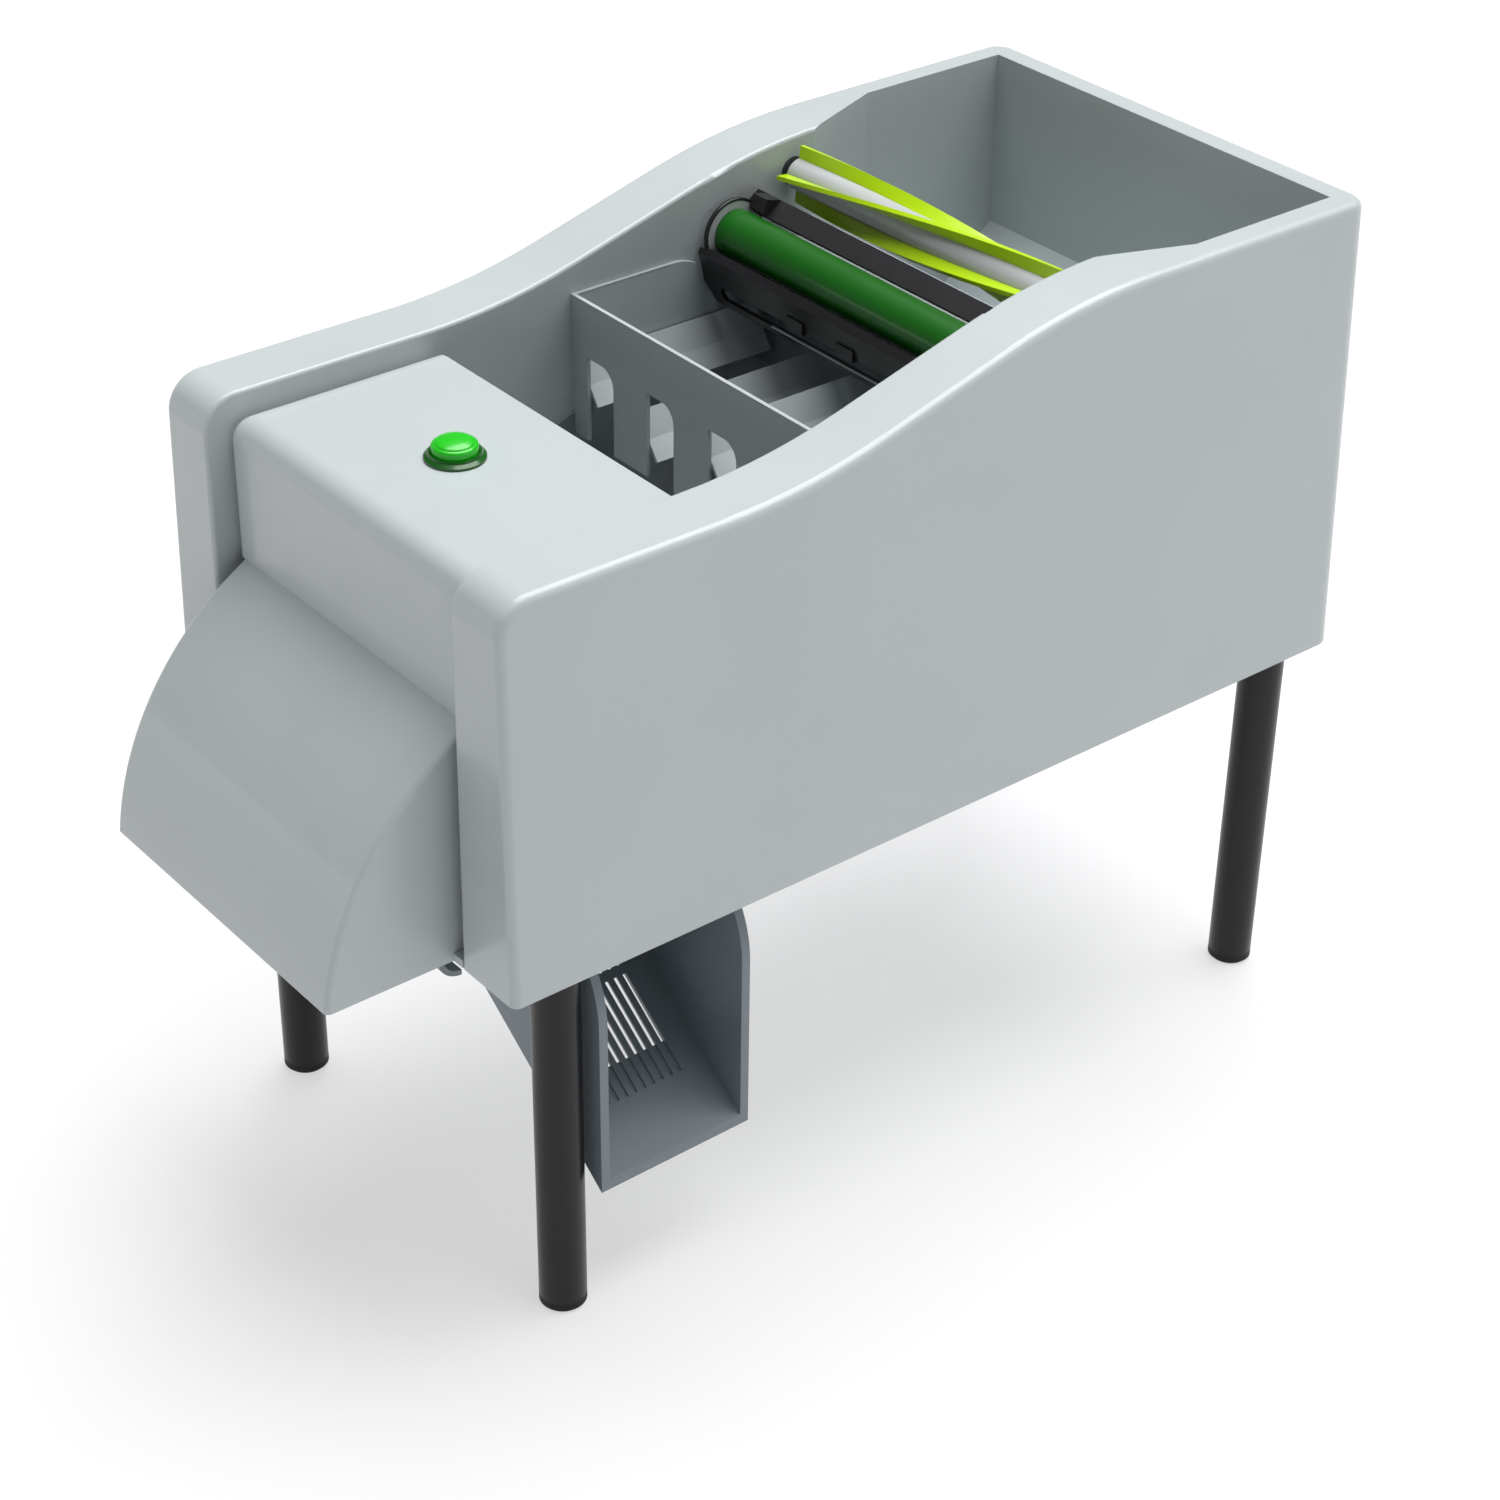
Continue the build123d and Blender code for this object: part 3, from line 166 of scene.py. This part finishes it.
# slot: colour, roughness, whatever differs from plain moulded plastic
PLASTICS = {
    "shell_plastic": (srgb(180, 187, 188), 0.32, {"coat": 0.3, "level": 0.35, "polish": 0.05}),
    "inner_plastic": (srgb(180, 188, 191), 0.4, {}),
    "chute_plastic": (srgb(112, 122, 129), 0.36, {"coat": 0.1}),
    "black_plastic": (srgb(34, 33, 36), 0.33, {"level": 0.45}),
    "lime_plastic": (srgb(178, 216, 0), 0.3, {"coat": 0.15}),
    "pale_plastic": (srgb(178, 180, 183), 0.32, {"coat": 0.1}),
    "roller_rubber": (
        srgb(12, 92, 10),
        0.28,
        {"grain": 900.0, "depth": 0.000001, "coat": 0.3, "level": 0.4},
    ),
    "button_green": (srgb(24, 186, 16), 0.26, {"depth": 0.000001, "coat": 0.2}),
    "bezel_green": (srgb(10, 84, 12), 0.24, {"depth": 0.000002, "coat": 0.25}),
    "gear_plastic": (srgb(226, 222, 208), 0.42, {}),
    "bush_plastic": (srgb(60, 62, 66), 0.4, {}),
    "leg_metal": (srgb(20, 20, 22), 0.3, {"grain": 2600.0, "level": 0.3}),
    "foot_rubber": (srgb(20, 20, 22), 0.6, {"grain": 700.0, "level": 0.3}),
}

# slot: colour, roughness, stretch of the lines along x, y and z
METALS = {
    "steel": (srgb(176, 177, 180), 0.28, (1.0, 0.05, 1.0)),
    "motor_steel": (srgb(150, 152, 156), 0.34, (1.0, 1.0, 1.0)),
}

FINISH = {}
for slot_name, (colour, rough, differences) in PLASTICS.items():
    FINISH[slot_name] = moulded(slot_name + "_look", colour, rough, **differences)
for slot_name, (colour, rough, stretch) in METALS.items():
    FINISH[slot_name] = metal(slot_name + "_look", colour, rough, stretch)

# painted shade: a darker copy of the inner plastic on the surfaces deep inside the channel,
# standing in for the shade that falls there
PAINTED_SHADE_FINISH = moulded("painted_shade_floor_look", srgb(122, 130, 133), 0.42)
PAINTED_SHADE_NODES = ("husk_floor", "control_base", "pea_slide", "motor_shroud")

for part in frame["record"]["subparts"]:
    node = NODES[part["node"]]
    # the nodes deep in the channel take the painted-shade finish in place of their slot's own
    # finish
    finish = PAINTED_SHADE_FINISH if part["node"] in PAINTED_SHADE_NODES else FINISH[part["material_slot"]]
    for slot in node.material_slots:
        slot.material = finish
    if not node.material_slots:
        node.data.materials.append(finish)

# ------------------------------------------------------------------ small visible pieces


def node_box(name):
    """Low and high corner of a node's own box, in the shared frame."""
    node = NODES[name]
    corners = [node.matrix_world @ Vector(c) for c in node.bound_box]
    low = Vector([min(c[i] for c in corners) for i in range(3)])
    high = Vector([max(c[i] for c in corners) for i in range(3)])
    return low, high


def new_piece(name, points, faces, slot, body):
    """Mesh piece in a material slot, riding on a body."""
    mesh = bpy.data.meshes.new(name)
    mesh.from_pydata([tuple(p) for p in points], [], faces)
    mesh.validate()
    mesh.materials.append(FINISH[slot])
    piece = bpy.data.objects.new(name, mesh)
    add_to_scene(piece)
    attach(piece, body)
    return piece


def smooth(piece):
    for polygon in piece.data.polygons:
        polygon.use_smooth = True


def slab(name, low, high, slot, body):
    """Plain box between two corners."""
    points = [
        (x, y, z)
        for z in (low[2], high[2])
        for y in (low[1], high[1])
        for x in (low[0], high[0])
    ]
    faces = [(0, 2, 3, 1), (4, 5, 7, 6), (0, 1, 5, 4), (2, 6, 7, 3), (0, 4, 6, 2), (1, 3, 7, 5)]
    new_piece(name, points, faces, slot, body)


def turned(name, profile, centre, slot, body, steps=96):
    """Closed ring: a closed profile of (radius, along) turned about the width through centre."""
    points = []
    count = len(profile)
    for k in range(steps):
        angle = 2 * math.pi * k / steps
        for radius, along in profile:
            x, z = radius * math.sin(angle), radius * math.cos(angle)
            points.append(Vector(centre) + Vector((x, along, z)))
    faces = []
    for k in range(steps):
        after = (k + 1) % steps
        for i in range(count):
            j = (i + 1) % count
            faces.append((k * count + i, k * count + j, after * count + j, after * count + i))
    smooth(new_piece(name, points, faces, slot, body))


# thin dark rims round the roller's end flanges: painted shade for the shadowed gap line at each
# flange's edge
flange_low, flange_high = node_box("roller_flanges")
flange_r = (flange_high.z - flange_low.z) / 2
roller_middle = (flange_low + flange_high) / 2
RIM_IN, RIM_OUT = 0.8 * MM, 0.15 * MM
RIM_SIDE = 0.12 * MM
FLANGE_T = 1.2 * MM
rim_profile = [
    (flange_r - RIM_IN, -RIM_SIDE),
    (flange_r + RIM_OUT, -RIM_SIDE),
    (flange_r + RIM_OUT, FLANGE_T + RIM_SIDE),
    (flange_r - RIM_IN, FLANGE_T + RIM_SIDE),
]
for side, along in (("far", flange_high.y - FLANGE_T), ("near", flange_low.y)):
    centre = (roller_middle.x, along, roller_middle.z)
    turned("flange_shadow_rim_" + side, rim_profile, centre, "black_plastic", "roller")

# domed top of the push button: rings that rise to a small flat top
cap_low, cap_high = node_box("button_cap")
cap_r = (cap_high.x - cap_low.x) / 2
cap_middle = (cap_low + cap_high) / 2
DOME_RISE = 1.5 * MM
DOME_SINK = 0.5 * MM
DOME_INSET = 1.1 * MM
DOME_RINGS = 12
DOME_STEPS = 64
dome_r = cap_r - DOME_INSET
ring_sizes = [(dome_r, -DOME_SINK)]
for k in range(DOME_RINGS):
    lift = k / DOME_RINGS * math.pi / 2
    ring_sizes.append((dome_r * math.cos(lift), DOME_RISE * math.sin(lift)))
dome_points = []
for radius, height in ring_sizes:
    for k in range(DOME_STEPS):
        angle = 2 * math.pi * k / DOME_STEPS
        x = cap_middle.x + radius * math.cos(angle)
        y = cap_middle.y + radius * math.sin(angle)
        dome_points.append((x, y, cap_high.z + height))
dome_faces = [tuple(reversed(range(DOME_STEPS)))]
for ring in range(DOME_RINGS):
    first, above = ring * DOME_STEPS, (ring + 1) * DOME_STEPS
    for k in range(DOME_STEPS):
        after = (k + 1) % DOME_STEPS
        dome_faces.append((first + k, first + after, above + after, above + k))
top_ring = DOME_RINGS * DOME_STEPS
dome_faces.append(tuple(range(top_ring, top_ring + DOME_STEPS)))
smooth(new_piece("button_dome", dome_points, dome_faces, "button_green", "button"))

# painted highlight: thin pale strips along the separator box's top edges, standing in for the light
# those edges catch
frame_low, frame_high = node_box("separator_frame")
SHEET = 1.5 * MM
EDGE = 0.12 * MM
FRONT_EDGE_T = SHEET * 0.6
FAR_EDGE_IN = SHEET * 0.4
ROUNDED_END = 21 * MM
slab(
    "separator_edge_highlight_front",
    (frame_low.x - EDGE, frame_low.y + SHEET, frame_high.z - EDGE),
    (frame_low.x + FRONT_EDGE_T, frame_high.y - SHEET, frame_high.z + EDGE),
    "pale_plastic",
    "base",
)
slab(
    "separator_edge_highlight_far",
    (frame_low.x + SHEET, frame_high.y - SHEET - EDGE, frame_high.z - EDGE),
    (frame_high.x - ROUNDED_END, frame_high.y - FAR_EDGE_IN, frame_high.z + EDGE),
    "pale_plastic",
    "base",
)

# two square pads on the guard's face, over its slot; heights are from the guard's top
guard_low, guard_high = node_box("roller_guard")
PAD_Y = (17.0 * MM, -10.5 * MM)
PAD_HALF = 4.6 * MM
PAD_LOW, PAD_TOP = -14.5 * MM, -9.9 * MM
PAD_FRONT, PAD_BACK = 1.4 * MM, 3.4 * MM
for number, y in enumerate(PAD_Y, 1):
    slab(
        "guard_pad_%d" % number,
        (guard_low.x + PAD_FRONT, y - PAD_HALF, guard_high.z + PAD_LOW),
        (guard_low.x + PAD_BACK, y + PAD_HALF, guard_high.z + PAD_TOP),
        "black_plastic",
        "base",
    )

# bright lower edge of the guard's slot
LINE_NEAR, LINE_FAR = -60.0 * MM, 32.0 * MM
LINE_LOW, LINE_TOP = -18.95 * MM, -18.4 * MM
LINE_FRONT, LINE_BACK = 3.4 * MM, 4.1 * MM
slab(
    "guard_slot_edge",
    (guard_low.x + LINE_FRONT, LINE_NEAR, guard_high.z + LINE_LOW),
    (guard_low.x + LINE_BACK, LINE_FAR, guard_high.z + LINE_TOP),
    "pale_plastic",
    "base",
)

# ------------------------------------------------------------------ stage
# The floor turns up into a low white wall at its far edges, so that low views see no gap.
FLOOR_REACH, WALL_TOP = 14.0, 1.4
FLOOR_NOISE = 3.0
FLOOR_ROUGH, FLOOR_SPECULAR = 0.8, 0.1
GLOW_FROM = (1.2, 5.0)
GLOW = (0.57, 0.9)
sides = (-FLOOR_REACH, FLOOR_REACH)
corners = [(sides[0], sides[0]), (sides[1], sides[0]), (sides[1], sides[1]), (sides[0], sides[1])]
floor_mesh = bpy.data.meshes.new("floor")
floor_mesh.from_pydata(
    [(x, y, 0.0) for x, y in corners] + [(x, y, WALL_TOP) for x, y in corners],
    [],
    [(0, 1, 2, 3)] + [(k, k + 4, (k + 1) % 4 + 4, (k + 1) % 4) for k in range(4)],
)
floor_mesh.update()
floor = bpy.data.objects.new("floor", floor_mesh)
add_to_scene(floor)
floor_mat, floor_tree, floor_bsdf = new_material("floor_look")
floor_tone = ramp(
    floor_tree, noise(floor_tree, FLOOR_NOISE), srgb(164, 164, 166), srgb(167, 167, 168)
)
floor_tree.links.new(floor_tone, floor_bsdf.inputs["Base Color"])
floor_bsdf.inputs["Roughness"].default_value = FLOOR_ROUGH
floor_bsdf.inputs["Specular IOR Level"].default_value = FLOOR_SPECULAR
floor_bsdf.inputs["Emission Color"].default_value = WHITE

# the floor's own glow grows with the distance from the part
floor_place = floor_tree.nodes.new("ShaderNodeTexCoord")
floor_far = floor_tree.nodes.new("ShaderNodeVectorMath")
floor_far.operation = "LENGTH"
floor_tree.links.new(floor_place.outputs["Object"], floor_far.inputs[0])
floor_glow = value_range(floor_tree, floor_far.outputs["Value"], GLOW_FROM, GLOW)
floor_tree.links.new(floor_glow, floor_bsdf.inputs["Emission Strength"])
floor_mesh.materials.append(floor_mat)

# ------------------------------------------------------------------ camera
AZIMUTH = math.radians(-39.04)
ELEVATION = math.radians(32.87)
ROLL = math.radians(0.78)
FOCAL_PX = 3233.33
IMAGE_PX = 1500.0
SENSOR_MM = 36.0
DISTANCE = 1202.34 * MM
TARGET = Vector((11.51, 0.0, 127.08)) * MM
CLIP_END = 50.0

back = Vector(
    (
        math.sin(AZIMUTH) * math.cos(ELEVATION),
        -math.cos(AZIMUTH) * math.cos(ELEVATION),
        math.sin(ELEVATION),
    )
)
right = Vector((0, 0, 1)).cross(back).normalized()
up = back.cross(right)
rolled_right = right * math.cos(ROLL) + up * math.sin(ROLL)
rolled_up = up * math.cos(ROLL) - right * math.sin(ROLL)
camera_data = bpy.data.cameras.new("camera")
camera_data.sensor_width = SENSOR_MM
camera_data.lens = FOCAL_PX * SENSOR_MM / IMAGE_PX
camera_data.clip_end = CLIP_END
camera = bpy.data.objects.new("camera", camera_data)
add_to_scene(camera)
camera_place = Matrix((rolled_right, rolled_up, back)).transposed().to_4x4()
camera_place.translation = TARGET + back * DISTANCE
camera.matrix_world = camera_place
bpy.context.scene.camera = camera

# ------------------------------------------------------------------ light
AIM = (0.0, 0.0, 0.15)
WORLD_STRENGTH = 0.15

# lamp: place and size in metres, power in watts
LAMPS = {
    "top_light": ((0.85, 0.2, 3.5), (3.4, 3.4), 218.0),
    "side_light": ((0.9, -2.2, 1.1), (1.8, 1.4), 5.0),
}
for name, (place, size, power) in LAMPS.items():
    lamp_data = bpy.data.lights.new(name, "AREA")
    lamp_data.shape = "RECTANGLE"
    lamp_data.size, lamp_data.size_y = size
    lamp_data.energy = power
    lamp = bpy.data.objects.new(name, lamp_data)
    add_to_scene(lamp)
    lamp.location = place
    lamp.rotation_euler = (Vector(AIM) - Vector(place)).to_track_quat("-Z", "Y").to_euler()

world = bpy.data.worlds.new("studio")
bpy.context.scene.world = world
world.use_nodes = True
backdrop = world.node_tree.nodes["Background"]
backdrop.inputs["Color"].default_value = WHITE
backdrop.inputs["Strength"].default_value = WORLD_STRENGTH
bpy.context.scene.view_settings.view_transform = "Standard"
